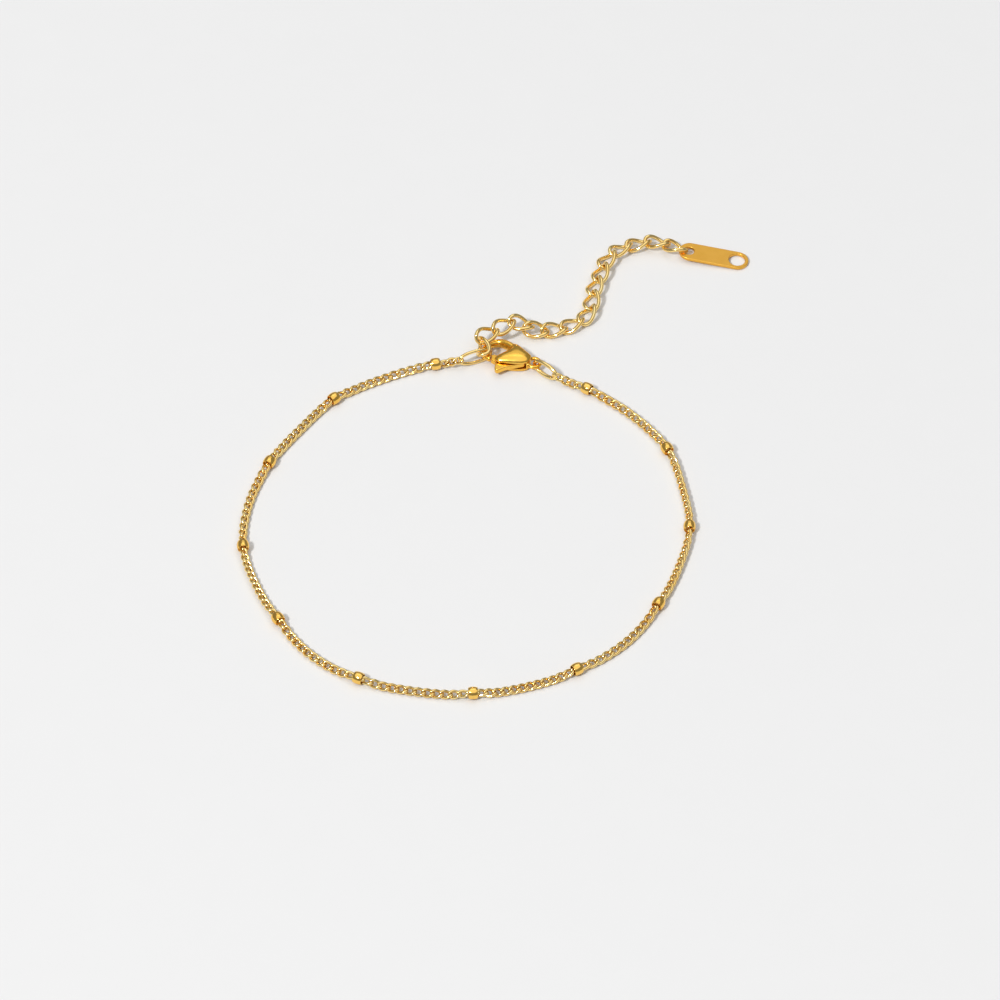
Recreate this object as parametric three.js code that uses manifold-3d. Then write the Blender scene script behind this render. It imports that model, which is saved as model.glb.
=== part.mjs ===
// Beaded anklet: a fine curb chain carrying twelve small barrel beads, closed by a
// lobster clasp, with a coarser curb extender that ends in a small plain tag.
// It lies on the plane z = 0. Millimetres, +Z up. The origin is at the middle of
// the underside of the whole anklet's box, +Y along its longest side.

import * as THREE from 'three';
import { mergeVertices } from 'three/addons/utils/BufferGeometryUtils.js';
import Module from 'manifold-3d';

const wasm = await Module();
wasm.setup();

// ---------------------------------------------------------------- dimensions
const RAD = Math.PI / 180;

// fine curb chain (its outer envelope) and beads
const CHAIN_R = 0.70;            // envelope radius of the fine curb chain
const CHAIN_SIDES = 8;
const CHAIN_STEPS = 6;           // steps along one stretch between two beads
const CHAIN_END_GAP = 0.15;      // clear space between a stretch and a bead's face
const BEAD_R = 0.98;
const BEAD_LENGTH = 1.45;
const BEAD_HOLE_R = 0.70;
const BEAD_SEGMENTS = 12;
const BEAD_RISE = 4.5;           // how far from a bead the chain settles on the surface
const RING_RISE = 3.0;           // the same, beside a jump ring

// extender links
const LINK_LENGTH = 4.02;        // along the wire's middle
const LINK_WIDTH = 2.46;
const LINK_WIRE = 0.64;
const LINK_TWIST = -45 * RAD;    // turn of each end about the link's long axis
const LINK_SEGMENTS = 20;
const LINK_SIDES = 6;

// jump rings
const END_RING = { length: 5.36, width: 2.20, wire: 0.56 };
const CLASP_RING = { length: 4.40, width: 1.96, wire: 0.66 };
const RING_SEGMENTS = 24;
const RING_SIDES = 8;
const OVAL_POWER = 0.82;         // 1 is an ellipse, less is blunter at the ends

// lobster clasp, in its own plan: u from the eye to the nose, v towards the lever
const CLASP_AT = { x: 5.46, y: 28.91, turn: 156 * RAD };
const CLASP_THICK = 2.75;
const CLASP_ROUND = 0.45;
const EYE = { ring: 0.98, wire: 0.38, z: 1.28 };
const HOOK = { sides: 12, steps: 24 };
const SLOT = { low: 0.65, high: 1.75 };
const LEVER = { low: 0.76, high: 1.64 };
const PIVOT = { u: 1.90, v: 0.55, pin: 0.32, bore: 0.42, low: 0.30, high: 2.10 };

// tag
const TAG_LENGTH = 11.5;
const TAG_WIDTH = 3.7;
const TAG_THICK = 0.5;
const TAG_LINK_HOLE = { fromEnd: 1.6, radius: 0.88 };
const TAG_FREE_HOLE = { fromEnd: 1.9, radius: 1.34 };
const TAG_AT = { x: 30.89, y: 54.75, z: 0.88, turn: -11.5 * RAD, dip: 3.6 * RAD };

// ---------------------------------------------------------------- tables
// Route of the fine chain from the clasp ring round to the end ring, seen from
// above: a row for each bead and for the middle of each stretch between beads.
const ROUTE = [
  { x: 9.39, y: 25.69, is: 'clasp ring' },
  { x: 13.93, y: 23.50, is: 'bead' },
  { x: 20.67, y: 18.15, is: 'chain' },
  { x: 26.48, y: 10.26, is: 'bead' },
  { x: 28.73, y: 1.90, is: 'chain' },
  { x: 29.68, y: -6.58, is: 'bead' },
  { x: 27.84, y: -14.81, is: 'chain' },
  { x: 24.54, y: -22.81, is: 'bead' },
  { x: 19.16, y: -30.75, is: 'chain' },
  { x: 11.80, y: -36.31, is: 'bead' },
  { x: 4.12, y: -39.61, is: 'chain' },
  { x: -4.12, y: -41.20, is: 'bead' },
  { x: -13.11, y: -40.55, is: 'chain' },
  { x: -21.66, y: -38.15, is: 'bead' },
  { x: -28.93, y: -33.27, is: 'chain' },
  { x: -34.29, y: -25.92, is: 'bead' },
  { x: -37.92, y: -18.65, is: 'chain' },
  { x: -40.13, y: -10.70, is: 'bead' },
  { x: -39.56, y: -1.69, is: 'chain' },
  { x: -36.47, y: 7.32, is: 'bead' },
  { x: -31.98, y: 14.54, is: 'chain' },
  { x: -26.53, y: 21.28, is: 'bead' },
  { x: -18.16, y: 26.31, is: 'chain' },
  { x: -10.36, y: 28.98, is: 'bead' },
  { x: -7.02, y: 29.13, is: 'end ring' },
];
const ROUTE_HEIGHT = { 'clasp ring': 1.25, 'bead': BEAD_R, 'chain': CHAIN_R, 'end ring': 1.42 };

// Where each jump ring and extender link lies: its middle, the way its long axis
// points (turn about +Z, then rise), and its roll about that axis. Degrees.
const RING_POSE = {
  end_ring: { x: -3.99, y: 30.19, z: 1.40, turn: 22.3, rise: -3.1, roll: 81.7 },
  clasp_ring: { x: 7.27, y: 27.34, z: 1.34, turn: -40.8, rise: 0.0, roll: 75.0 },
};
const LINK_POSE = [
  { x: -2.86, y: 31.86, z: 1.86, turn: 104.0, rise: -11.9, roll: 126.0 },
  { x: -2.14, y: 33.93, z: 2.73, turn: 35.4, rise: -3.5, roll: 13.5 },
  { x: 0.55, y: 35.90, z: 2.69, turn: 37.2, rise: -1.4, roll: 10.5 },
  { x: 3.40, y: 36.83, z: 2.28, turn: -6.0, rise: -17.9, roll: 1.8 },
  { x: 5.76, y: 36.51, z: 1.15, turn: -1.4, rise: -10.5, roll: 19.7 },
  { x: 8.76, y: 36.86, z: 0.83, turn: 10.7, rise: -1.8, roll: 3.4 },
  { x: 11.67, y: 38.01, z: 0.84, turn: 30.5, rise: 4.6, roll: -8.6 },
  { x: 14.11, y: 40.15, z: 0.98, turn: 61.0, rise: 6.5, roll: -16.6 },
  { x: 14.88, y: 43.21, z: 1.01, turn: 81.0, rise: 4.2, roll: -20.3 },
  { x: 15.46, y: 46.50, z: 1.10, turn: 75.4, rise: 0.8, roll: -22.7 },
  { x: 16.45, y: 49.64, z: 1.05, turn: 71.6, rise: 2.9, roll: -21.7 },
  { x: 17.55, y: 52.72, z: 1.07, turn: 59.7, rise: 0.9, roll: -20.8 },
  { x: 19.75, y: 55.12, z: 1.14, turn: 34.8, rise: -2.5, roll: -19.5 },
  { x: 22.63, y: 56.40, z: 0.97, turn: 14.5, rise: 2.3, roll: -14.5 },
  { x: 25.71, y: 56.53, z: 1.19, turn: -9.1, rise: -3.7, roll: -15.0 },
  { x: 28.65, y: 55.42, z: 1.18, turn: -21.4, rise: -4.9, roll: -20.2 },
];

// Outer outline of the clasp's cheeks, anticlockwise from behind the eye.
const CHEEK_OUTLINE = [
  { u: 0.70, v: -0.52 }, { u: 1.90, v: -1.20 }, { u: 3.05, v: -1.76 }, { u: 4.00, v: -2.06 },
  { u: 4.38, v: -1.80 }, { u: 4.42, v: -1.00 }, { u: 4.82, v: 0.00 }, { u: 5.42, v: 0.95 },
  { u: 5.82, v: 1.62 }, { u: 5.90, v: 2.25 }, { u: 5.25, v: 2.66 }, { u: 3.90, v: 2.42 },
  { u: 2.60, v: 2.02 }, { u: 1.45, v: 1.50 }, { u: 0.70, v: 0.80 },
];
// Middle line of the hook, from inside the cheeks round the nose to its tip: half its
// thickness in plan, and the heights of its lower and upper side.
const HOOK_SPINE = [
  { u: 3.40, v: -1.10, half: 0.62, low: 0.35, high: 2.25 }, { u: 4.60, v: -1.58, half: 0.64, low: 0.35, high: 2.25 },
  { u: 5.70, v: -1.88, half: 0.63, low: 0.38, high: 2.18 }, { u: 6.80, v: -1.90, half: 0.60, low: 0.42, high: 2.00 },
  { u: 7.72, v: -1.40, half: 0.56, low: 0.45, high: 1.84 }, { u: 8.28, v: -0.58, half: 0.55, low: 0.50, high: 1.83 },
  { u: 8.42, v: 0.35, half: 0.55, low: 0.58, high: 1.83 }, { u: 8.22, v: 1.20, half: 0.54, low: 0.72, high: 1.84 },
  { u: 7.70, v: 1.80, half: 0.53, low: 0.77, high: 1.83 }, { u: 7.00, v: 2.00, half: 0.50, low: 0.80, high: 1.80 },
];
// Space between the cheeks that the lever turns in; its last rows lie outside.
const SLOT_OUTLINE = [
  { u: 1.45, v: -0.30 }, { u: 1.90, v: -0.42 }, { u: 3.00, v: -0.45 }, { u: 4.40, v: -0.50 },
  { u: 5.40, v: -0.62 }, { u: 7.00, v: -0.90 }, { u: 7.00, v: 5.00 }, { u: 0.95, v: 5.00 },
  { u: 0.95, v: 0.55 }, { u: 1.10, v: 0.05 },
];
// Lever with its thumb piece, anticlockwise from behind the pivot.
const LEVER_OUTLINE = [
  { u: 1.10, v: 0.50 }, { u: 1.35, v: -0.05 }, { u: 1.95, v: -0.24 }, { u: 2.65, v: -0.02 },
  { u: 3.70, v: 0.45 }, { u: 4.80, v: 0.80 }, { u: 6.00, v: 1.08 }, { u: 6.80, v: 1.34 },
  { u: 6.72, v: 1.94 }, { u: 6.45, v: 2.42 }, { u: 5.75, v: 2.60 }, { u: 5.45, v: 2.95 },
  { u: 5.35, v: 3.55 }, { u: 5.10, v: 4.05 }, { u: 4.65, v: 4.20 }, { u: 4.25, v: 3.75 },
  { u: 3.65, v: 2.98 }, { u: 2.85, v: 2.35 }, { u: 1.95, v: 1.60 }, { u: 1.35, v: 1.10 },
];

// ---------------------------------------------------------------- materials
const finish = (color, roughness) =>
  new THREE.MeshStandardMaterial({ color, roughness, metalness: 1.0 });
const polishedGold = () => finish(0xd9a441, 0.2);
const satinGold = () => finish(0xd7a03c, 0.38);

// ---------------------------------------------------------------- geometry
// One closed skin of shared corners with its faces turned outwards.
function closedSkin(geometry) {
  const bare = geometry.clone();
  bare.deleteAttribute('normal');
  bare.deleteAttribute('uv');
  const skin = mergeVertices(bare, 1e-4);
  const p = skin.attributes.position;
  const source = skin.index.array;
  const kept = [];
  let volume = 0;
  const a = new THREE.Vector3(), b = new THREE.Vector3(), c = new THREE.Vector3();
  for (let i = 0; i < source.length; i += 3) {
    const [i0, i1, i2] = [source[i], source[i + 1], source[i + 2]];
    if (i0 === i1 || i1 === i2 || i2 === i0) continue;
    kept.push(i0, i1, i2);
    a.fromBufferAttribute(p, i0); b.fromBufferAttribute(p, i1); c.fromBufferAttribute(p, i2);
    volume += a.dot(b.cross(c)) / 6;
  }
  if (volume < 0) {
    for (let i = 0; i < kept.length; i += 3) [kept[i + 1], kept[i + 2]] = [kept[i + 2], kept[i + 1]];
  }
  skin.setIndex(kept);
  return skin;
}

function solidOf(geometry) {
  const skin = closedSkin(geometry);
  return new wasm.Manifold(new wasm.Mesh({
    numProp: 3,
    vertProperties: new Float32Array(skin.attributes.position.array),
    triVerts: new Uint32Array(skin.index.array),
  }));
}

function geometryOf(solid) {
  const mesh = solid.getMesh();
  const geometry = new THREE.BufferGeometry();
  geometry.setAttribute('position', new THREE.BufferAttribute(new Float32Array(mesh.vertProperties), 3));
  geometry.setIndex(new THREE.BufferAttribute(new Uint32Array(mesh.triVerts), 1));
  return geometry;
}

function named(name, geometry, material) {
  geometry.computeVertexNormals();
  const mesh = new THREE.Mesh(geometry, material);
  mesh.name = name;
  return mesh;
}

// Middle line of an oval ring of wire; a curb link's ends are turned about its axis.
class OvalWire extends THREE.Curve {
  constructor(length, width, twist) {
    super();
    this.half = length / 2;
    this.side = width / 2;
    this.twist = twist;
  }

  getPoint(t, target = new THREE.Vector3()) {
    const angle = 2 * Math.PI * t;
    const s = Math.sin(angle);
    const y = this.side * Math.sign(s) * Math.abs(s) ** OVAL_POWER;
    const turn = this.twist * Math.cos(angle);
    return target.set(this.half * Math.cos(angle), y * Math.cos(turn), y * Math.sin(turn));
  }
}

function wireRing(length, width, wire, twist, segments, sides) {
  return closedSkin(new THREE.TubeGeometry(new OvalWire(length, width, twist), segments, wire / 2, sides, true));
}

function posed(mesh, pose) {
  mesh.position.set(pose.x, pose.y, pose.z);
  mesh.rotation.set(pose.roll * RAD, -pose.rise * RAD, pose.turn * RAD, 'ZYX');
  return mesh;
}

const polygon = (rows) => new THREE.Shape(rows.map((r) => new THREE.Vector2(r.u, r.v)));

function smoothPolygon(rows, count) {
  const line = new THREE.CatmullRomCurve3(rows.map((r) => new THREE.Vector3(r.u, r.v, 0)), true, 'centripetal');
  return new THREE.Shape(line.getSpacedPoints(count).slice(0, count).map((p) => new THREE.Vector2(p.x, p.y)));
}

function roundSection(radius, sides) {
  const points = [];
  for (let i = 0; i < sides; i++) {
    const angle = (2 * Math.PI * (i + 0.5)) / sides;
    points.push(new THREE.Vector2(radius * Math.cos(angle), radius * Math.sin(angle)));
  }
  return new THREE.Shape(points);
}

function tube(points, radius, sides, steps) {
  return new THREE.ExtrudeGeometry(roundSection(radius, sides), {
    steps, bevelEnabled: false, extrudePath: new THREE.CatmullRomCurve3(points, false, 'centripetal'),
  });
}

// Bar of oval section that bends in plan and changes its thickness and height on the way.
function ovalBar(rows, sides, steps) {
  const line = new THREE.CatmullRomCurve3(rows.map((r) => new THREE.Vector3(r.u, r.v, 0)), false, 'centripetal');
  const corners = [], faces = [];
  for (let i = 0; i <= steps; i++) {
    const at = line.getPoint(i / steps), way = line.getTangent(i / steps);
    const row = Math.min(i / steps * (rows.length - 1), rows.length - 1 - 1e-9);
    const a = rows[Math.floor(row)], b = rows[Math.floor(row) + 1], f = row - Math.floor(row);
    const mix = (key) => a[key] + (b[key] - a[key]) * f;
    const half = mix('half'), middle = (mix('low') + mix('high')) / 2, rise = (mix('high') - mix('low')) / 2;
    for (let k = 0; k < sides; k++) {
      const angle = 2 * Math.PI * k / sides;
      const out = half * Math.cos(angle);
      corners.push(at.x - way.y * out, at.y + way.x * out, middle + rise * Math.sin(angle));
    }
  }
  const ends = [0, steps].map((i) => {
    const at = line.getPoint(i / steps), row = rows[i ? rows.length - 1 : 0];
    corners.push(at.x, at.y, (row.low + row.high) / 2);
    return corners.length / 3 - 1;
  });
  for (let k = 0; k < sides; k++) {
    const next = (k + 1) % sides;
    for (let i = 0; i < steps; i++) {
      const a = i * sides + k, b = i * sides + next;
      faces.push(a, b, b + sides, a, b + sides, a + sides);
    }
    faces.push(ends[0], next, k, ends[1], steps * sides + k, steps * sides + next);
  }
  const geometry = new THREE.BufferGeometry();
  geometry.setAttribute('position', new THREE.Float32BufferAttribute(corners, 3));
  geometry.setIndex(faces);
  return geometry;
}

function slab(shape, low, high, round, roundSteps) {
  const geometry = new THREE.ExtrudeGeometry(shape, {
    depth: high - low - 2 * round, steps: 1, curveSegments: 10,
    bevelEnabled: round > 0, bevelThickness: round, bevelSize: round, bevelOffset: -round, bevelSegments: roundSteps,
  });
  geometry.translate(0, 0, low + round);
  return geometry;
}

// ---------------------------------------------------------------- anklet
const anklet = new THREE.Group();

// fine chain and beads along the route
const ROUTE_FINE = 40;
const route = new THREE.CatmullRomCurve3(ROUTE.map((r) => new THREE.Vector3(r.x, r.y, 0)), false, 'centripetal');
route.arcLengthDivisions = (ROUTE.length - 1) * ROUTE_FINE;
const lengths = route.getLengths();
const total = lengths[lengths.length - 1];
const stations = ROUTE.map((row, i) => ({ s: lengths[i * ROUTE_FINE], is: row.is }));
const supports = stations.filter((station) => station.is !== 'chain');

// The chain rests on the surface and rises to the hole of each bead and to the rings.
function chainHeight(s) {
  let z = CHAIN_R;
  for (const support of supports) {
    const reach = support.is === 'bead' ? BEAD_RISE : RING_RISE;
    const off = Math.abs(s - support.s) / reach;
    if (off < 1) z = Math.max(z, CHAIN_R + (ROUTE_HEIGHT[support.is] - CHAIN_R) * Math.cos(off * Math.PI / 2) ** 2);
  }
  return z;
}

function routePoint(s) {
  const p = route.getPointAt(THREE.MathUtils.clamp(s / total, 0, 1));
  return p.setZ(chainHeight(s));
}

function beadGeometry() {
  const half = BEAD_LENGTH / 2;
  const profile = [
    { r: BEAD_HOLE_R, along: -half }, { r: 0.84 * BEAD_R, along: -half }, { r: 0.94 * BEAD_R, along: -0.72 * half },
    { r: BEAD_R, along: -0.26 * half }, { r: BEAD_R, along: 0.26 * half }, { r: 0.94 * BEAD_R, along: 0.72 * half },
    { r: 0.84 * BEAD_R, along: half }, { r: BEAD_HOLE_R, along: half }, { r: BEAD_HOLE_R, along: -half },
  ];
  const geometry = new THREE.LatheGeometry(profile.map((q) => new THREE.Vector2(q.r, q.along)), BEAD_SEGMENTS);
  geometry.rotateZ(-Math.PI / 2);
  return closedSkin(geometry);
}

const number = (i) => String(i).padStart(2, '0');
supports.forEach((support, i) => {
  if (support.is === 'bead') {
    const way = route.getTangentAt(support.s / total);
    const bead = named(`bead_${number(i)}`, beadGeometry(), polishedGold());
    bead.position.copy(routePoint(support.s));
    bead.rotation.z = Math.atan2(way.y, way.x);
    anklet.add(bead);
  }
  if (i + 1 < supports.length) {
    const next = supports[i + 1];
    const clear = (end) => (end.is === 'bead' ? BEAD_LENGTH / 2 + CHAIN_END_GAP : 0);
    const from = support.s + clear(support);
    const to = next.s - clear(next);
    const points = [];
    for (let k = 0; k <= CHAIN_STEPS; k++) points.push(routePoint(from + (to - from) * k / CHAIN_STEPS));
    const steps = to - from > 6 ? CHAIN_STEPS : 2;
    anklet.add(named(`chain_${number(i + 1)}`, closedSkin(tube(points, CHAIN_R, CHAIN_SIDES, steps)), polishedGold()));
  }
});

// jump rings and extender
const endRing = wireRing(END_RING.length, END_RING.width, END_RING.wire, 0, RING_SEGMENTS, RING_SIDES);
anklet.add(posed(named('end_ring', endRing, polishedGold()), RING_POSE.end_ring));
const claspRing = wireRing(CLASP_RING.length, CLASP_RING.width, CLASP_RING.wire, 0, RING_SEGMENTS, RING_SIDES);
anklet.add(posed(named('clasp_ring', claspRing, polishedGold()), RING_POSE.clasp_ring));
LINK_POSE.forEach((pose, i) => {
  const link = wireRing(LINK_LENGTH, LINK_WIDTH, LINK_WIRE, LINK_TWIST, LINK_SEGMENTS, LINK_SIDES);
  anklet.add(posed(named(`ext_link_${number(i + 1)}`, link, polishedGold()), pose));
});

// lobster clasp: cheeks with the lever's slot, eye, hook and the pressed-in pin
const clasp = new THREE.Group();
clasp.position.set(CLASP_AT.x, CLASP_AT.y, 0);
clasp.rotation.z = CLASP_AT.turn;
anklet.add(clasp);

const cheeks = solidOf(slab(smoothPolygon(CHEEK_OUTLINE, 36), 0, CLASP_THICK, CLASP_ROUND, 2));
const slot = solidOf(slab(polygon(SLOT_OUTLINE), SLOT.low, SLOT.high, 0, 1));
const eye = solidOf(new THREE.TorusGeometry(EYE.ring, EYE.wire, 8, 20).translate(0, 0, EYE.z));
const hook = solidOf(ovalBar(HOOK_SPINE, HOOK.sides, HOOK.steps));
const pin = solidOf(new THREE.CylinderGeometry(PIVOT.pin, PIVOT.pin, PIVOT.high - PIVOT.low, 12)
  .rotateX(Math.PI / 2).translate(PIVOT.u, PIVOT.v, (PIVOT.low + PIVOT.high) / 2));
const body = cheeks.add(eye).subtract(slot).add(pin).add(hook);
clasp.add(named('clasp_body', closedSkin(geometryOf(body)), polishedGold()));

const leverShape = smoothPolygon(LEVER_OUTLINE, 40);
leverShape.holes.push(new THREE.Path().absarc(PIVOT.u, PIVOT.v, PIVOT.bore, 0, 2 * Math.PI, true));
clasp.add(named('clasp_lever', closedSkin(slab(leverShape, LEVER.low, LEVER.high, 0, 1)), polishedGold()));

// tag: flat plate with round ends and two holes, tipped down to its free end
const tagShape = new THREE.Shape();
const tagRound = TAG_WIDTH / 2;
const tagBack = -TAG_LINK_HOLE.fromEnd;
const tagFront = TAG_LENGTH - TAG_LINK_HOLE.fromEnd;
tagShape.absarc(tagFront - tagRound, 0, tagRound, -Math.PI / 2, Math.PI / 2, false);
tagShape.absarc(tagBack + tagRound, 0, tagRound, Math.PI / 2, 1.5 * Math.PI, false);
tagShape.holes.push(new THREE.Path().absarc(0, 0, TAG_LINK_HOLE.radius, 0, 2 * Math.PI, true));
tagShape.holes.push(new THREE.Path().absarc(tagFront - TAG_FREE_HOLE.fromEnd, 0, TAG_FREE_HOLE.radius, 0, 2 * Math.PI, true));
const tag = named('tag', closedSkin(slab(tagShape, -TAG_THICK / 2, TAG_THICK / 2, 0, 1)), satinGold());
tag.position.set(TAG_AT.x, TAG_AT.y, TAG_AT.z);
tag.rotation.set(0, TAG_AT.dip, TAG_AT.turn, 'ZYX');
anklet.add(tag);

// origin at the middle of the underside of the whole
anklet.updateMatrixWorld(true);
const box = new THREE.Box3().setFromObject(anklet, true);
anklet.position.set(-(box.min.x + box.max.x) / 2, -(box.min.y + box.max.y) / 2, -box.min.z);
anklet.updateMatrixWorld(true);

export default anklet;
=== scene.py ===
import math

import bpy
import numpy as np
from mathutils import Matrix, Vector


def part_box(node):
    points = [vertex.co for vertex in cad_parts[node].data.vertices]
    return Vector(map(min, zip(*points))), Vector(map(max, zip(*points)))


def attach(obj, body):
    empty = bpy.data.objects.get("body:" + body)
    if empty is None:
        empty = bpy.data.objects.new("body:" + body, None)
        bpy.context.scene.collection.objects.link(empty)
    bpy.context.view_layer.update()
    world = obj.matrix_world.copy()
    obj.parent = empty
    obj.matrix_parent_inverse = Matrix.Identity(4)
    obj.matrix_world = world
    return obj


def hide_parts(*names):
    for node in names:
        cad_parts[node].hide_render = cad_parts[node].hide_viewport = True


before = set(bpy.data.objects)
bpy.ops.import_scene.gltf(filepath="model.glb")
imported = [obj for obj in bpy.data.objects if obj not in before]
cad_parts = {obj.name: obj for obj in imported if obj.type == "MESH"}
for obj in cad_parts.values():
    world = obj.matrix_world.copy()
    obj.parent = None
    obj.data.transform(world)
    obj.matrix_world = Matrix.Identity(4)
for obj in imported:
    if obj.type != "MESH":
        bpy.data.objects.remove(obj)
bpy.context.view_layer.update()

# Looks of the beaded anklet: every link of the fine curb chain, the barrel beads, the
# two jump rings, the cast lobster clasp and its lever, the extender and the plain tag.
# Tables and sizes are in millimetres on the surface's own grid; place() moves them to
# the part's frame, in metres.

MM = 0.001
RAD = math.pi / 180

# ------------------------------------------------------------------ sizes
BEAD_R = 0.98
BEAD_LENGTH = 1.45
BEAD_HOLE_R = 0.75

FINE_WIRE = 0.47
FINE_WIDTH = 1.08
BEAD_LINK_WIDTH = 0.62           # the link that passes through a bead
END_LINK_WIDTH = 0.88            # the links on each side of a bead
FINE_OVERLAP = 0.45              # how much longer a link's wire line is than its pitch
FINE_TWIST = -47 * RAD
FINE_REACH = 1.40                # from a bead's middle to the next link's middle
RING_REACH = 0.38                # from a ring's tip to the first link's middle
BEAD_RISE = 4.2

LINK = {"length": 4.02, "width": 2.46, "wire": 0.64, "twist": -45 * RAD}
END_RING = {"length": 5.36, "width": 2.20, "wire": 0.56, "twist": 0.0}
CLASP_RING = {"length": 4.40, "width": 1.96, "wire": 0.66, "twist": 0.0}
OVAL_POWER = 0.82

CLASP_AT = {"x": 5.46, "y": 28.91, "turn": 156 * RAD}
EYE = {"ring": 0.98, "wire": 0.31, "z": 1.28}
PIVOT = {"u": 1.90, "v": 0.55}

TAG = {"length": 11.5, "width": 3.7, "thick": 0.5, "link_end": 1.6, "link_r": 0.88,
       "free_end": 1.9, "free_r": 1.34, "edge": 0.09}
TAG_AT = {"x": 30.89, "y": 54.75, "z": 0.88, "turn": -11.5, "rise": -3.6, "roll": 0.0}

# ------------------------------------------------------------------ tables
# x, y, what is there, and the chain's roll about its own line (0 lies flat)
ROUTE = [
    (9.39, 25.69, "ring", 60), (13.93, 23.50, "bead", 40), (20.67, 18.15, "chain", 40),
    (26.48, 10.26, "bead", 50), (28.73, 1.90, "chain", 62), (29.68, -6.58, "bead", 50),
    (27.84, -14.81, "chain", 30), (24.54, -22.81, "bead", 15), (19.16, -30.75, "chain", -15),
    (11.80, -36.31, "bead", -10), (4.12, -39.61, "chain", -15), (-4.12, -41.20, "bead", -15),
    (-13.11, -40.55, "chain", -20), (-21.66, -38.15, "bead", -20), (-28.93, -33.27, "chain", -18),
    (-34.29, -25.92, "bead", 10), (-37.92, -18.65, "chain", 28), (-40.13, -10.70, "bead", 30),
    (-39.56, -1.69, "chain", 38), (-36.47, 7.32, "bead", 30), (-31.98, 14.54, "chain", 25),
    (-26.53, 21.28, "bead", 20), (-18.16, 26.31, "chain", 20), (-10.36, 28.98, "bead", 60),
    (-7.02, 29.13, "ring", 70),
]

# middle, turn about +Z, rise of the long axis and roll about it
RING_POSE = {
    "end_ring": (-3.99, 30.19, 1.40, 22.3, -3.1, 81.7),
    "clasp_ring": (7.27, 27.34, 1.34, -40.8, 0.0, 75.0),
}
LINK_POSE = [
    (-2.86, 31.86, 1.86, 104.0, -11.9, 126.0), (-2.14, 33.93, 2.73, 35.4, -3.5, 13.5),
    (0.55, 35.90, 2.69, 37.2, -1.4, 10.5), (3.40, 36.83, 2.28, -6.0, -17.9, 1.8),
    (5.76, 36.51, 1.15, -1.4, -10.5, 19.7), (8.76, 36.86, 0.83, 10.7, -1.8, 3.4),
    (11.67, 38.01, 0.84, 30.5, 4.6, -8.6), (14.11, 40.15, 0.98, 61.0, 6.5, -16.6),
    (14.88, 43.21, 1.01, 81.0, 4.2, -20.3), (15.46, 46.50, 1.10, 75.4, 0.8, -22.7),
    (16.45, 49.64, 1.05, 71.6, 2.9, -21.7), (17.55, 52.72, 1.07, 59.7, 0.9, -20.8),
    (19.75, 55.12, 1.14, 34.8, -2.5, -19.5), (22.63, 56.40, 0.97, 14.5, 2.3, -14.5),
    (25.71, 56.53, 1.19, -9.1, -3.7, -15.0), (28.65, 55.42, 1.18, -21.4, -4.9, -20.2),
]

# clasp in its own plan: u from the eye to the nose, v towards the lever
CHEEK_OUTLINE = [
    (0.70, -0.52), (1.90, -1.20), (3.05, -1.76), (4.00, -2.06), (4.38, -1.80), (4.42, -1.00), (4.82, 0.00),
    (5.42, 0.95), (5.82, 1.62), (5.90, 2.25), (5.25, 2.66), (3.90, 2.42), (2.60, 2.02), (1.45, 1.50), (0.70, 0.80),
]
# u, v, half the thickness in plan and the heights of the lower and upper side along the hook
HOOK_SPINE = [
    (3.40, -1.10, 0.62, 0.35, 2.25), (4.60, -1.58, 0.64, 0.35, 2.25), (5.70, -1.88, 0.63, 0.38, 2.18),
    (6.80, -1.90, 0.60, 0.42, 2.00), (7.72, -1.40, 0.56, 0.45, 1.84), (8.28, -0.58, 0.55, 0.50, 1.83),
    (8.42, 0.35, 0.55, 0.58, 1.83), (8.22, 1.20, 0.54, 0.72, 1.84), (7.70, 1.80, 0.53, 0.77, 1.83),
    (7.00, 2.00, 0.50, 0.80, 1.80),
]
SLOT_OUTLINE = [
    (1.45, -0.30), (1.90, -0.42), (3.00, -0.45), (4.40, -0.50), (5.40, -0.62), (7.00, -0.90), (7.00, 5.00),
    (0.95, 5.00), (0.95, 0.55), (1.10, 0.05),
]
LEVER_OUTLINE = [
    (1.10, 0.50), (1.35, -0.05), (1.95, -0.24), (2.65, -0.02), (3.70, 0.45), (4.80, 0.80), (6.00, 1.08),
    (6.80, 1.34), (6.72, 1.94), (6.45, 2.42), (5.75, 2.60), (5.45, 2.95), (5.35, 3.55), (5.10, 4.05),
    (4.65, 4.20), (4.25, 3.75), (3.65, 2.98), (2.85, 2.35), (1.95, 1.60), (1.35, 1.10),
]

# The part's origin is at the middle of its own underside, so the surface's grid is
# moved by what one bead's box shows.
bead_low, bead_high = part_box("bead_06")
SHIFT = np.array([(bead_low.x + bead_high.x) / 2 / MM + 4.12, (bead_low.y + bead_high.y) / 2 / MM + 41.20, 0.0])


def place(points):
    return (np.asarray(points, float) + SHIFT) * MM


# ------------------------------------------------------------------ meshes
def make_mesh(name, verts, faces, smooth=True):
    mesh = bpy.data.meshes.new(name)
    mesh.from_pydata([tuple(v) for v in verts], [], [tuple(int(i) for i in f) for f in faces])
    mesh.validate()
    mesh.polygons.foreach_set("use_smooth", [smooth] * len(mesh.polygons))
    mesh.update()
    obj = bpy.data.objects.new(name, mesh)
    bpy.context.scene.collection.objects.link(obj)
    return obj


def finish_piece(obj, body, node, material):
    obj.data.materials.clear()
    obj.data.materials.append(material)
    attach(obj, body)
    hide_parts(node)
    return obj


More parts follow.
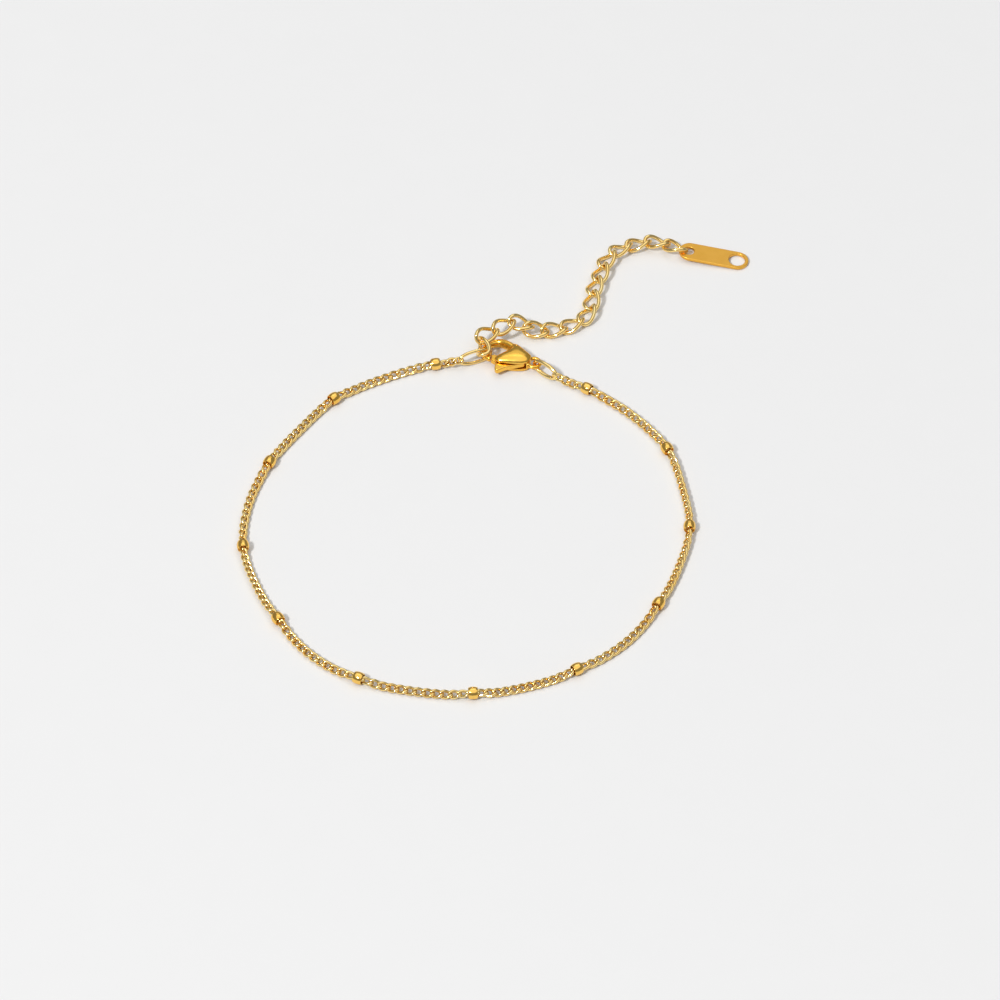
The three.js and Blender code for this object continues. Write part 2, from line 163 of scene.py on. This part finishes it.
def catmull(points, steps, closed=False):
    """Centripetal curve through the points, steps to each span."""
    p = np.asarray(points, float)
    n = len(p)
    spans = n if closed else n - 1
    out = []
    for i in range(spans):
        p1, p2 = p[i], p[(i + 1) % n]
        p0 = p[(i - 1) % n] if closed or i > 0 else 2 * p1 - p2
        p3 = p[(i + 2) % n] if closed or i + 2 < n else 2 * p2 - p1
        d0, d1, d2 = (max(np.linalg.norm(b - a) ** 0.5, 1e-6) for a, b in ((p0, p1), (p1, p2), (p2, p3)))
        t1 = ((p1 - p0) / d0 - (p2 - p0) / (d0 + d1) + (p2 - p1) / d1) * d1
        t2 = ((p2 - p1) / d1 - (p3 - p1) / (d1 + d2) + (p3 - p2) / d2) * d1
        for k in range(steps):
            t = k / steps
            out.append((2 * t**3 - 3 * t**2 + 1) * p1 + (t**3 - 2 * t**2 + t) * t1
                       + (-2 * t**3 + 3 * t**2) * p2 + (t**3 - t**2) * t2)
    if not closed:
        out.append(p[-1])
    return np.array(out)


def oval_line(length, width, twist, count):
    t = np.linspace(0, 2 * np.pi, count, endpoint=False)
    s = np.sin(t)
    y = width / 2 * np.sign(s) * np.abs(s) ** OVAL_POWER
    turn = twist * np.cos(t)
    return np.c_[length / 2 * np.cos(t), y * np.cos(turn), y * np.sin(turn)]


def ring_tube(line, radius, sides):
    """Closed tube round a closed line, its section carried along without twist."""
    n = len(line)
    tangent = np.roll(line, -1, 0) - np.roll(line, 1, 0)
    tangent /= np.linalg.norm(tangent, axis=1)[:, None]
    side = np.cross(tangent[0], [0.0, 0.0, 1.0])
    if np.linalg.norm(side) < 1e-6:
        side = np.cross(tangent[0], [0.0, 1.0, 0.0])
    side /= np.linalg.norm(side)
    sides_at = [side]
    for i in range(1, n + 1):
        t = tangent[i % n]
        side = side - t * side.dot(t)
        side /= np.linalg.norm(side)
        sides_at.append(side)
    up0 = np.cross(tangent[0], sides_at[0])
    slip = math.atan2(sides_at[n].dot(up0), sides_at[n].dot(sides_at[0]))
    verts = []
    for i in range(n):
        a = sides_at[i]
        b = np.cross(tangent[i], a)
        angle = np.arange(sides) * 2 * np.pi / sides - slip * i / n
        verts.append(line[i] + radius * (np.cos(angle)[:, None] * a + np.sin(angle)[:, None] * b))
    verts = np.vstack(verts)
    i, j = np.meshgrid(np.arange(n), np.arange(sides), indexing="ij")
    i2, j2 = (i + 1) % n, (j + 1) % sides
    faces = np.stack([i * sides + j, i2 * sides + j, i2 * sides + j2, i * sides + j2], -1).reshape(-1, 4)
    return verts, faces[:, ::-1]


def turned(turn, rise, roll):
    """Axes of a piece turned about +Z, raised, then rolled about its own length (degrees)."""
    a, b, c = turn * RAD, -rise * RAD, roll * RAD
    rz = np.array([[math.cos(a), -math.sin(a), 0], [math.sin(a), math.cos(a), 0], [0, 0, 1]])
    ry = np.array([[math.cos(b), 0, math.sin(b)], [0, 1, 0], [-math.sin(b), 0, math.cos(b)]])
    rx = np.array([[1, 0, 0], [0, math.cos(c), -math.sin(c)], [0, math.sin(c), math.cos(c)]])
    return rz @ ry @ rx


def polygon_distance(outline, u, v):
    """Signed distance in the plane to a closed outline, negative inside."""
    p = np.asarray(outline, float)
    q = np.roll(p, -1, 0)
    best = np.full(u.shape, 1e9)
    inside = np.zeros(u.shape, bool)
    for (ax, ay), (bx, by) in zip(p, q):
        ex, ey = bx - ax, by - ay
        t = np.clip(((u - ax) * ex + (v - ay) * ey) / (ex * ex + ey * ey + 1e-12), 0, 1)
        best = np.minimum(best, (u - ax - t * ex) ** 2 + (v - ay - t * ey) ** 2)
        crosses = (ay > v) != (by > v)
        at = ax + (v - ay) * ex / (ey if abs(ey) > 1e-12 else 1e-12)
        inside ^= crosses & (u < at)
    d = np.sqrt(best)
    return np.where(inside, -d, d)


def line_distance(line, u, v):
    """Distance to an open line in the plane, and the other columns' values at the nearest place."""
    best = np.full(u.shape, 1e9)
    values = np.zeros((line.shape[1] - 2, *u.shape))
    for a, b in zip(line[:-1], line[1:]):
        ex, ey = b[0] - a[0], b[1] - a[1]
        t = np.clip(((u - a[0]) * ex + (v - a[1]) * ey) / (ex * ex + ey * ey + 1e-12), 0, 1)
        d = (u - a[0] - t * ex) ** 2 + (v - a[1] - t * ey) ** 2
        near = d < best
        best = np.where(near, d, best)
        for k in range(len(values)):
            values[k] = np.where(near, a[k + 2] + t * (b[k + 2] - a[k + 2]), values[k])
    return np.sqrt(best), values



def blend_in(a, b, k):
    h = np.clip(0.5 + 0.5 * (b - a) / k, 0, 1)
    return b * (1 - h) + a * h - k * h * (1 - h)


def cut_out(a, b, k):
    return -blend_in(-a, b, k)


def skin_of(field, low, step, relax):
    """Quads of the surface where the field is zero (negative inside), relaxed a few times."""
    inside = field < 0
    corners = [(x, y, z) for x in (0, 1) for y in (0, 1) for z in (0, 1)]
    n = np.array(field.shape) - 1

    def part(a, c):
        return a[c[0]:c[0] + n[0], c[1]:c[1] + n[1], c[2]:c[2] + n[2]]

    count = sum(part(inside, c).astype(np.int8) for c in corners)
    mixed = (count > 0) & (count < 8)
    cells = np.argwhere(mixed)
    index = np.full(mixed.shape, -1, np.int64)
    index[mixed] = np.arange(len(cells))
    total = np.zeros((len(cells), 3))
    hits = np.zeros(len(cells))
    for a in corners:
        for axis in range(3):
            if a[axis]:
                continue
            b = list(a)
            b[axis] = 1
            fa, fb = part(field, a)[mixed], part(field, b)[mixed]
            cross = (fa < 0) != (fb < 0)
            t = np.where(cross, fa / np.where(cross, fa - fb, 1), 0)
            spot = np.tile(np.array(a, float), (len(cells), 1))
            spot[:, axis] += t
            total += np.where(cross[:, None], spot, 0)
            hits += cross
    verts = np.array(low) + step * (cells + total / hits[:, None])
    quads = []
    for axis in range(3):
        o1, o2 = [(1, 2), (2, 0), (0, 1)][axis]
        a = np.moveaxis(inside, (axis, o1, o2), (0, 1, 2))
        ids = np.moveaxis(index, (axis, o1, o2), (0, 1, 2))
        low_in, high_in = a[:-1, 1:-1, 1:-1], a[1:, 1:-1, 1:-1]
        for pick, flip in ((low_in & ~high_in, False), (~low_in & high_in, True)):
            i, j, k = np.nonzero(pick)
            quad = np.stack([ids[i, j, k], ids[i, j + 1, k], ids[i, j + 1, k + 1], ids[i, j, k + 1]], -1)
            quads.append(quad[:, ::-1] if flip else quad)
    quads = np.vstack(quads)
    edges = np.vstack([quads[:, [0, 1]], quads[:, [1, 2]], quads[:, [2, 3]], quads[:, [3, 0]]])
    edges = np.unique(np.sort(edges, 1), axis=0)
    degree = np.bincount(edges.ravel(), minlength=len(verts))[:, None]
    for k in range(relax):
        total = np.zeros_like(verts)
        np.add.at(total, edges[:, 0], verts[edges[:, 1]])
        np.add.at(total, edges[:, 1], verts[edges[:, 0]])
        weight = 0.5 if k % 2 == 0 else -0.52
        verts = verts + weight * (total / degree - verts)
    return verts, quads


# ------------------------------------------------------------------ materials
def gold(name, deep, light, rough, grain, bump, painted_shade=None):
    """Gold plate: slightly uneven tone and polish, with a fine cast or drawn grain.
    The last argument is the colour of painted shade, mixed into the narrow gaps between links by an occlusion mask."""
    material = bpy.data.materials.new(name)
    material.use_nodes = True
    tree = material.node_tree
    tree.nodes.clear()
    new = tree.nodes.new
    out = new("ShaderNodeOutputMaterial")
    shader = new("ShaderNodeBsdfPrincipled")
    shader.inputs["Metallic"].default_value = 1.0
    coord = new("ShaderNodeTexCoord")
    tone = new("ShaderNodeTexNoise")
    tone.inputs["Scale"].default_value = 420.0
    tone.inputs["Detail"].default_value = 4.0
    ramp = new("ShaderNodeValToRGB")
    ramp.color_ramp.elements[0].position, ramp.color_ramp.elements[0].color = 0.30, (*deep, 1)
    ramp.color_ramp.elements[1].position, ramp.color_ramp.elements[1].color = 0.70, (*light, 1)
    polish = new("ShaderNodeTexNoise")
    polish.inputs["Scale"].default_value = 1500.0
    polish.inputs["Detail"].default_value = 5.0
    span = new("ShaderNodeMapRange")
    span.inputs["From Min"].default_value, span.inputs["From Max"].default_value = 0.3, 0.7
    span.inputs["To Min"].default_value, span.inputs["To Max"].default_value = rough[0], rough[1]
    fine = new("ShaderNodeTexNoise")
    fine.inputs["Scale"].default_value = grain
    fine.inputs["Detail"].default_value = 3.0
    dent = new("ShaderNodeBump")
    dent.inputs["Strength"].default_value = bump
    dent.inputs["Distance"].default_value = 0.00002
    link = tree.links.new
    for texture in (tone, polish, fine):
        link(coord.outputs["Object"], texture.inputs["Vector"])
    link(tone.outputs["Fac"], ramp.inputs["Fac"])
    if painted_shade is None:
        link(ramp.outputs["Color"], shader.inputs["Base Color"])
    else:
        # Painted shade: an ambient-occlusion mask darkens the base colour in the narrow gaps between links, where shade
        # falls.
        gap = new("ShaderNodeAmbientOcclusion")
        gap.samples = 8
        gap.inputs["Distance"].default_value = 0.0004
        depth = new("ShaderNodeMapRange")
        depth.inputs["From Min"].default_value, depth.inputs["From Max"].default_value = 0.10, 0.65
        depth.inputs["To Min"].default_value, depth.inputs["To Max"].default_value = 1.0, 0.0
        painted_shade_mix = new("ShaderNodeMix")
        painted_shade_mix.data_type = "RGBA"
        painted_shade_mix.inputs[7].default_value = (*painted_shade, 1)
        link(gap.outputs["AO"], depth.inputs["Value"])
        link(depth.outputs["Result"], painted_shade_mix.inputs[0])
        link(ramp.outputs["Color"], painted_shade_mix.inputs[6])
        link(painted_shade_mix.outputs[2], shader.inputs["Base Color"])
    link(polish.outputs["Fac"], span.inputs["Value"])
    link(span.outputs["Result"], shader.inputs["Roughness"])
    link(fine.outputs["Fac"], dent.inputs["Height"])
    link(dent.outputs["Normal"], shader.inputs["Normal"])
    link(shader.outputs["BSDF"], out.inputs["Surface"])
    return material


GOLD_DEEP, GOLD_LIGHT = (0.95, 0.52, 0.07), (1.0, 0.61, 0.115)
PALE_DEEP, PALE_LIGHT = (1.0, 0.665, 0.21), (1.0, 0.785, 0.35)
# Colour of the painted shade in the gaps between chain links and around the beads.
PAINTED_SHADE = (0.42, 0.17, 0.03)
chain_gold = gold("chain_gold", PALE_DEEP, PALE_LIGHT, (0.09, 0.17), 9000.0, 0.14, PAINTED_SHADE)
bead_gold = gold("bead_gold", (0.95, 0.55, 0.10), (1.0, 0.65, 0.17), (0.07, 0.14), 6000.0, 0.06, PAINTED_SHADE)
ring_gold = gold("ring_gold", PALE_DEEP, PALE_LIGHT, (0.12, 0.22), 7000.0, 0.08)
link_gold = gold("extender_gold", PALE_DEEP, PALE_LIGHT, (0.10, 0.18), 7000.0, 0.08)
clasp_gold = gold("clasp_gold", GOLD_DEEP, GOLD_LIGHT, (0.16, 0.26), 5000.0, 0.10)
tag_gold = gold("tag_gold", (0.835, 0.45, 0.072), (0.885, 0.49, 0.088), (0.30, 0.38), 12000.0, 0.12)

# ------------------------------------------------------------------ fine chain
STEPS = 40
flat_line = catmull([row[:2] for row in ROUTE], STEPS)


def ring_tip(pose, ring, end):
    axes = turned(*pose[3:])
    return np.array(pose[:3]) + axes[:, 0] * end * ring["length"] / 2


first_tip = ring_tip(RING_POSE["clasp_ring"], CLASP_RING, 1)
last_tip = ring_tip(RING_POSE["end_ring"], END_RING, -1)
line_xy = np.vstack([first_tip[:2], flat_line, last_tip[:2]])
along = np.r_[0, np.cumsum(np.linalg.norm(np.diff(line_xy, axis=0), axis=1))]
row_at = [along[1 + i * STEPS] for i in range(len(ROUTE))]
bead_at = [s for s, row in zip(row_at, ROUTE) if row[2] == "bead"]
roll_s = [0.0] + row_at + [along[-1]]
roll_v = [ROUTE[0][3]] + [row[3] for row in ROUTE] + [ROUTE[-1][3]]


def chain_xy(s):
    return np.array([np.interp(s, along, line_xy[:, 0]), np.interp(s, along, line_xy[:, 1])])


def chain_roll(s):
    return float(np.interp(s, roll_s, roll_v))


link_shape = oval_line(1.75, FINE_WIDTH, FINE_TWIST, 48)


def rest_height(roll):
    c, s = math.cos(roll * RAD), math.sin(roll * RAD)
    return float(-(link_shape[:, 1] * s + link_shape[:, 2] * c).min() + FINE_WIRE / 2 + 0.01)


def chain_height(s):
    low = rest_height(chain_roll(s))
    z = low
    for b in bead_at:
        off = abs(s - b) / BEAD_RISE
        if off < 1:
            z = max(z, low + (BEAD_R - low) * math.cos(off * math.pi / 2) ** 2)
    for end, tip in ((0.0, first_tip), (along[-1], last_tip)):
        off = abs(s - end) / 3.4
        if off < 1:
            z = max(z, low + (tip[2] - low) * math.cos(off * math.pi / 2) ** 2)
    return z


def chain_point(s):
    return np.array([*chain_xy(s), chain_height(s)])


def fine_link(s, length, width):
    ahead = chain_point(s + 0.4) - chain_point(s - 0.4)
    ahead /= np.linalg.norm(ahead)
    up = np.array([0, 0, 1.0]) - ahead * ahead[2]
    up /= np.linalg.norm(up)
    side = np.cross(up, ahead)
    c, q = math.cos(chain_roll(s) * RAD), math.sin(chain_roll(s) * RAD)
    axes = np.stack([ahead, side * c + up * q, up * c - side * q], 1)
    return oval_line(length, width, FINE_TWIST, 40) @ axes.T + chain_point(s)


stations = [0.0] + bead_at + [along[-1]]
for i in range(len(stations) - 1):
    first = stations[i] + (FINE_REACH if i > 0 else RING_REACH)
    last = stations[i + 1] - (FINE_REACH if i + 2 < len(stations) else RING_REACH)
    count = 12 if last - first > 8 else int(round((last - first) / 1.08)) + 1
    middles = np.linspace(first, last, count)
    pitch = (last - first) / (count - 1)
    links = [(s, max(pitch, 1.24) + FINE_OVERLAP, FINE_WIDTH if 0 < k < count - 1 else END_LINK_WIDTH)
             for k, s in enumerate(middles)]
    if i + 2 < len(stations):
        links.append((stations[i + 1], FINE_REACH + FINE_OVERLAP, BEAD_LINK_WIDTH))
    verts, faces, base = [], [], 0
    for s, length, width in links:
        v, f = ring_tube(fine_link(s, length, width), FINE_WIRE / 2, 12)
        verts.append(v)
        faces.append(f + base)
        base += len(v)
    name = "chain_%02d" % (i + 1)
    stretch = make_mesh(name + "_links", place(np.vstack(verts)), np.vstack(faces))
    finish_piece(stretch, "anklet", name, chain_gold)


# ------------------------------------------------------------------ beads
def bead_profile():
    """Radius and place along the hole, from one rim over the barrel and back through the hole."""
    half = BEAD_LENGTH / 2
    rim = 0.06
    rows = []
    x = np.linspace(-half + rim, half - rim, 25)
    shape = BEAD_R * (1 - 0.14 * (np.abs(x) / half) ** 2.6)
    edge = BEAD_R * (1 - 0.14 * ((half - rim) / half) ** 2.6)
    for a in np.linspace(0, 1, 5)[:-1]:
        rows.append((edge - rim * (1 - math.sin(a * math.pi / 2)), -half + rim * (1 - math.cos(a * math.pi / 2))))
    rows += list(zip(shape, x))
    for a in np.linspace(1, 0, 5)[1:]:
        rows.append((edge - rim * (1 - math.sin(a * math.pi / 2)), half - rim * (1 - math.cos(a * math.pi / 2))))
    for a in np.linspace(0, 1, 5):
        rows.append((BEAD_HOLE_R + rim * (1 - math.sin(a * math.pi / 2)), half - rim * (1 - math.cos(a * math.pi / 2))))
    for a in np.linspace(1, 0, 5):
        rows.append((BEAD_HOLE_R + rim * (1 - math.sin(a * math.pi / 2)), -half + rim * (1 - math.cos(a * math.pi / 2))))
    return np.array(rows)


profile = bead_profile()
BEAD_SIDES = 64
for i, s in enumerate(bead_at):
    ahead = chain_xy(s + 0.05) - chain_xy(s - 0.05)
    axes = turned(math.degrees(math.atan2(ahead[1], ahead[0])), 0, 0)
    angle = np.arange(BEAD_SIDES) * 2 * np.pi / BEAD_SIDES
    n = len(profile)
    ring = np.stack([np.repeat(profile[:, 1][:, None], BEAD_SIDES, 1), profile[:, :1] * np.cos(angle), profile[:, :1] * np.sin(angle)], -1)
    verts = ring.reshape(-1, 3) @ axes.T + np.array([*chain_xy(s), BEAD_R])
    a, b = np.meshgrid(np.arange(n), np.arange(BEAD_SIDES), indexing="ij")
    a2, b2 = (a + 1) % n, (b + 1) % BEAD_SIDES
    faces = np.stack([a * BEAD_SIDES + b, a * BEAD_SIDES + b2, a2 * BEAD_SIDES + b2, a2 * BEAD_SIDES + b], -1).reshape(-1, 4)
    name = "bead_%02d" % (i + 1)
    bead = make_mesh(name + "_barrel", place(verts), faces[:, ::-1])
    finish_piece(bead, "anklet", name, bead_gold)


# ------------------------------------------------------------------ rings and extender
def wire_piece(name, node, pose, size, count, sides, material):
    line = oval_line(size["length"], size["width"], size["twist"], count) @ turned(*pose[3:]).T + np.array(pose[:3])
    verts, faces = ring_tube(line, size["wire"] / 2, sides)
    return finish_piece(make_mesh(name, place(verts), faces), "anklet", node, material)


wire_piece("end_ring_wire", "end_ring", RING_POSE["end_ring"], END_RING, 96, 20, ring_gold)
wire_piece("clasp_ring_wire", "clasp_ring", RING_POSE["clasp_ring"], CLASP_RING, 96, 20, ring_gold)
for i, pose in enumerate(LINK_POSE):
    node = "ext_link_%02d" % (i + 1)
    wire_piece(node + "_wire", node, pose, LINK, 80, 18, link_gold)


# ------------------------------------------------------------------ clasp
def clasp_to_floor(points):
    p = np.asarray(points, float)
    c, s = math.cos(CLASP_AT["turn"]), math.sin(CLASP_AT["turn"])
    return np.c_[CLASP_AT["x"] + p[:, 0] * c - p[:, 1] * s, CLASP_AT["y"] + p[:, 0] * s + p[:, 1] * c, p[:, 2]]


def grid(low, high, step):
    axes = [np.arange(a, b + step, step) for a, b in zip(low, high)]
    u, v = np.meshgrid(axes[0], axes[1], indexing="ij")
    return u, v, axes[2]


CLASP_STEP = 0.05
low, high = (-1.6, -2.8, -0.2), (9.3, 3.2, 3.0)
u, v, zs = grid(low, high, CLASP_STEP)
cheek_2d = polygon_distance(catmull(CHEEK_OUTLINE, 10, True), u, v)
slot_2d = polygon_distance(SLOT_OUTLINE, u, v)
hook_2d, (hook_half, hook_low, hook_high) = line_distance(catmull(HOOK_SPINE, 10), u, v)
hook_rise = (hook_high - hook_low) / 2
pin_2d = np.hypot(u - PIVOT["u"], v - PIVOT["v"])
eye_2d = np.hypot(u, v) - EYE["ring"]
# The hook ends just short of the closed lever's tip.
tip_gap = np.where(u > 5.6, polygon_distance(catmull(LEVER_OUTLINE, 10, True), u, v) - 0.07, 9.0)

# The cast top swells evenly from the outline, like a skin under pressure.
inside = cheek_2d < 0
swell = np.zeros(u.shape)
for _ in range(2400):
    middle = 0.25 * (swell[:-2, 1:-1] + swell[2:, 1:-1] + swell[1:-1, :-2] + swell[1:-1, 2:]) + CLASP_STEP**2
    swell[1:-1, 1:-1] = np.where(inside[1:-1, 1:-1], middle, 0)
dome = 1.90 + 0.85 * np.sqrt(np.clip(swell / swell.max(), 0, 1))
deep = np.clip(-cheek_2d, 0, None)
foot = 0.40 * (1 - np.sqrt(1 - (1 - np.clip(deep / 0.40, 0, 1)) ** 2))
field = np.empty((*u.shape, len(zs)))
for k, z in enumerate(zs):
    body = np.maximum(cheek_2d, np.maximum(z - dome, foot - z))
    slot = np.maximum(slot_2d, np.maximum(0.60 - z, z - 1.80))
    eye = np.hypot(eye_2d, z - EYE["z"]) - EYE["wire"]
    hook = (np.hypot(hook_2d / hook_half, (z - hook_low) / hook_rise - 1) - 1) * np.minimum(hook_half, hook_rise)
    hook = cut_out(hook, tip_gap, 0.06)
    pin = np.maximum(pin_2d - 0.32, np.maximum(0.3 - z, z - 2.1))
    body = blend_in(body, eye, 0.22)
    body = cut_out(body, slot, 0.10)
    field[:, :, k] = np.minimum(blend_in(body, hook, 0.30), pin)
verts, quads = skin_of(field, low, CLASP_STEP, 6)
body_piece = make_mesh("clasp_body_cast", place(clasp_to_floor(verts)), quads)
finish_piece(body_piece, "anklet", "clasp_body", clasp_gold)

LEVER_STEP = 0.04
low, high = (0.7, -0.7, 0.5), (7.2, 4.6, 1.9)
u, v, zs = grid(low, high, LEVER_STEP)
lever_2d = polygon_distance(catmull(LEVER_OUTLINE, 10, True), u, v)
bore_2d = np.hypot(u - PIVOT["u"], v - PIVOT["v"]) - 0.40
ROUND = 0.16
field = np.empty((*u.shape, len(zs)))
for k, z in enumerate(zs):
    across = np.abs(z - 1.20) - (0.44 - ROUND)
    flat = lever_2d + ROUND
    lever = np.minimum(np.maximum(flat, across), 0) + np.hypot(np.maximum(flat, 0), np.maximum(across, 0)) - ROUND
    field[:, :, k] = cut_out(lever, bore_2d, 0.02)
verts, quads = skin_of(field, low, LEVER_STEP, 6)
lever_piece = make_mesh("clasp_lever_cast", place(clasp_to_floor(verts)), quads)
finish_piece(lever_piece, "lever", "clasp_lever", clasp_gold)


# ------------------------------------------------------------------ tag
def outline_spline(curve, points):
    spline = curve.splines.new("POLY")
    spline.points.add(len(points) - 1)
    for target, (x, y) in zip(spline.points, points):
        target.co = (x, y, 0, 1)
    spline.use_cyclic_u = True


def arc(cx, r, a0, a1, n):
    t = np.linspace(a0, a1, n)
    return np.c_[cx + r * np.cos(t), r * np.sin(t)]


edge = TAG["edge"]
back, front = -TAG["link_end"], TAG["length"] - TAG["link_end"]
r = TAG["width"] / 2
curve = bpy.data.curves.new("tag_outline", "CURVE")
curve.dimensions = "2D"
curve.fill_mode = "BOTH"
curve.extrude = TAG["thick"] / 2 - edge
curve.bevel_depth = edge
curve.bevel_resolution = 4
outline_spline(curve, np.vstack([arc(front - r, r - edge, -math.pi / 2, math.pi / 2, 60),
                                 arc(back + r, r - edge, math.pi / 2, 1.5 * math.pi, 60)]))
outline_spline(curve, arc(0, TAG["link_r"] + edge, 0, -2 * math.pi, 65)[:-1])
outline_spline(curve, arc(front - TAG["free_end"], TAG["free_r"] + edge, 0, -2 * math.pi, 81)[:-1])
holder = bpy.data.objects.new("tag_outline", curve)
bpy.context.scene.collection.objects.link(holder)
bpy.context.view_layer.update()
drawn = holder.evaluated_get(bpy.context.evaluated_depsgraph_get()).to_mesh()
verts = np.array([tuple(q.co) for q in drawn.vertices])
faces = [tuple(p.vertices) for p in drawn.polygons]
bpy.data.objects.remove(holder)
bpy.data.curves.remove(curve)
axes = turned(TAG_AT["turn"], TAG_AT["rise"], TAG_AT["roll"])
tag = make_mesh("tag_plate", place(verts @ axes.T + np.array([TAG_AT["x"], TAG_AT["y"], TAG_AT["z"]])), faces, False)
finish_piece(tag, "anklet", "tag", tag_gold)

# ------------------------------------------------------------------ floor, light, camera
floor = make_mesh("floor", [(-3, -3, -0.00002), (3, -3, -0.00002), (3, 3, -0.00002), (-3, 3, -0.00002)], [(0, 1, 2, 3)], False)
paper = bpy.data.materials.new("floor_paper")
paper.use_nodes = True
tree = paper.node_tree
shader = tree.nodes["Principled BSDF"]
noise = tree.nodes.new("ShaderNodeTexNoise")
noise.inputs["Scale"].default_value = 900.0
ramp = tree.nodes.new("ShaderNodeValToRGB")
ramp.color_ramp.elements[0].color = (0.795, 0.795, 0.795, 1)
ramp.color_ramp.elements[1].color = (0.805, 0.805, 0.805, 1)
shader.inputs["Roughness"].default_value = 0.9
shader.inputs["Specular IOR Level"].default_value = 0.0
tree.links.new(noise.outputs["Fac"], ramp.inputs["Fac"])
tree.links.new(ramp.outputs["Color"], shader.inputs["Base Color"])
floor.data.materials.append(paper)

scene = bpy.context.scene
scene.view_settings.view_transform = "Standard"
scene.view_settings.look = "None"
world = bpy.data.worlds.new("studio")
scene.world = world
world.use_nodes = True
world.node_tree.nodes["Background"].inputs["Color"].default_value = (0.28, 0.28, 0.28, 1)
world.node_tree.nodes["Background"].inputs["Strength"].default_value = 1.0

look_at = np.array([SHIFT[0], SHIFT[1], 0.0]) * MM


def soft_box(name, azimuth, elevation, distance, size, watts):
    """Round soft light; azimuth 0 is in front of the object, 90 to its right."""
    a, e = azimuth * RAD, elevation * RAD
    way = np.array([math.sin(a) * math.cos(e), -math.cos(a) * math.cos(e), math.sin(e)])
    data = bpy.data.lights.new(name, "AREA")
    data.shape = "DISK"
    data.size = size
    data.energy = watts
    obj = bpy.data.objects.new(name, data)
    scene.collection.objects.link(obj)
    obj.location = look_at + way * distance
    obj.rotation_mode = "QUATERNION"
    from mathutils import Vector
    obj.rotation_quaternion = Vector(way).to_track_quat("Z", "Y")
    return obj


soft_box("key", -42, 50, 3.0, 0.40, 54.0)
soft_box("back_fill", 178, 50, 1.8, 1.3, 2.3)
soft_box("top", 0, 86, 1.6, 2.6, 12.5)

ELEVATION = 47 * RAD
DISTANCE = 0.945
lens = bpy.data.cameras.new("camera")
lens.sensor_width = 36.0
lens.lens = 216.0
lens.clip_start = 0.05
lens.clip_end = 20.0
camera = bpy.data.objects.new("camera", lens)
scene.collection.objects.link(camera)
camera.location = look_at + DISTANCE * np.array([0, -math.cos(ELEVATION), math.sin(ELEVATION)])
camera.rotation_euler = (math.pi / 2 - ELEVATION, 0, 0)
scene.camera = camera
